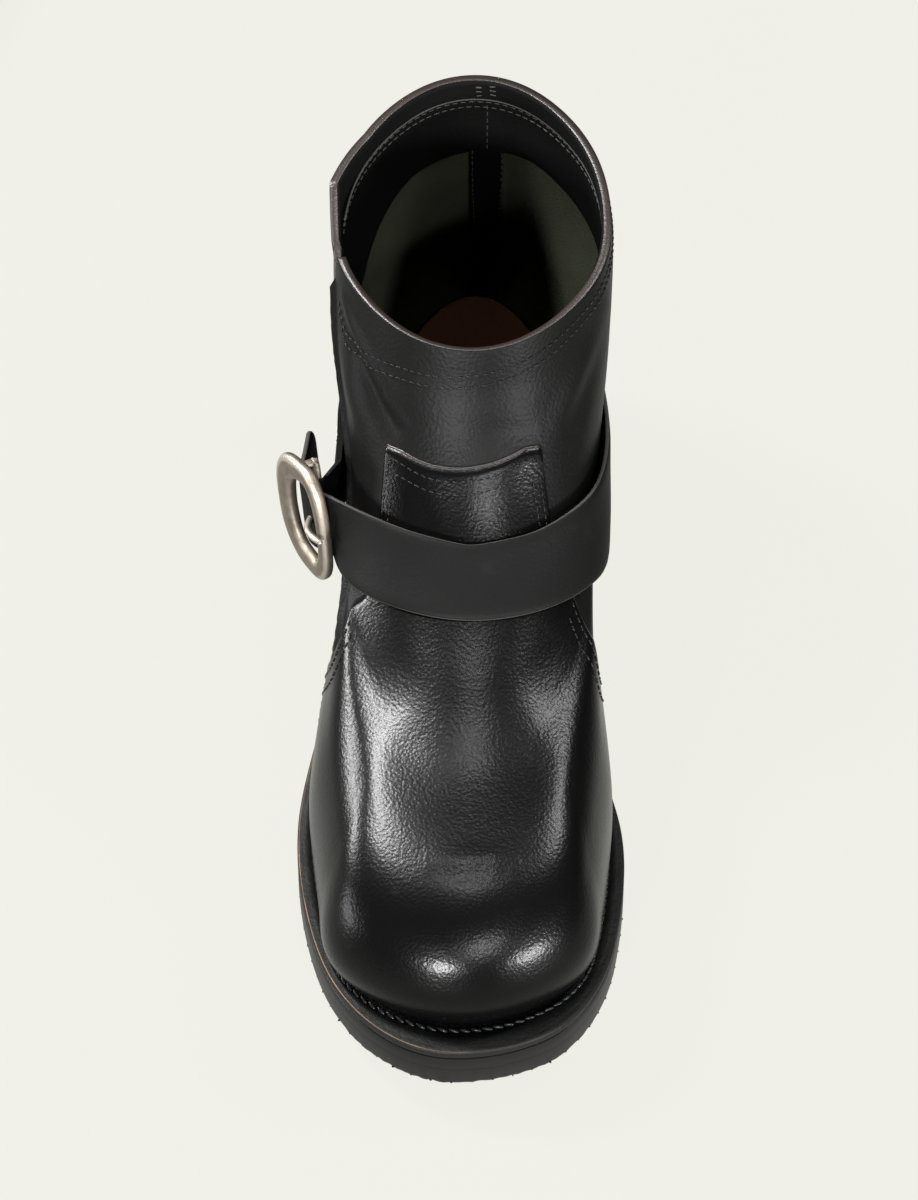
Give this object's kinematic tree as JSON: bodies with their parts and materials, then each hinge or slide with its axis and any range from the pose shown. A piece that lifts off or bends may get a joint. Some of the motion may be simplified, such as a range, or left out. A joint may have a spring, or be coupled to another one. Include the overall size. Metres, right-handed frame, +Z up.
{
  "type": "engineer ankle boot",
  "caption": "Pull-on black leather ankle boot with a rounded toe, a buckled strap round the ankle, a stitched welt and a block heel.",
  "frame": {"origin": "middle of the heel's flat underside, on the floor", "axes": "+Z up, -Y towards the toe, +X towards the wearer's other foot (the medial side)"},
  "size_m": [0.1104, 0.2855, 0.1508],
  "materials": {
    "black_leather": "semi-gloss, fine pebbled grain",
    "strap_leather": "satin, raw edges",
    "welt_leather": "satin, stitched",
    "black_rubber": "matt",
    "tan_leather": "matt",
    "antique_silver": "antiqued, satin"
  },
  "bodies": {
    "root": {"upper": "black_leather", "strap": "strap_leather", "chape": "strap_leather", "buckle": "antique_silver", "prong": "antique_silver", "welt": "welt_leather", "midsole": "black_rubber", "outsole": "black_rubber", "heel_stack": "black_rubber", "heel_lift": "black_rubber", "insole": "tan_leather"}
  },
  "joints": []
}
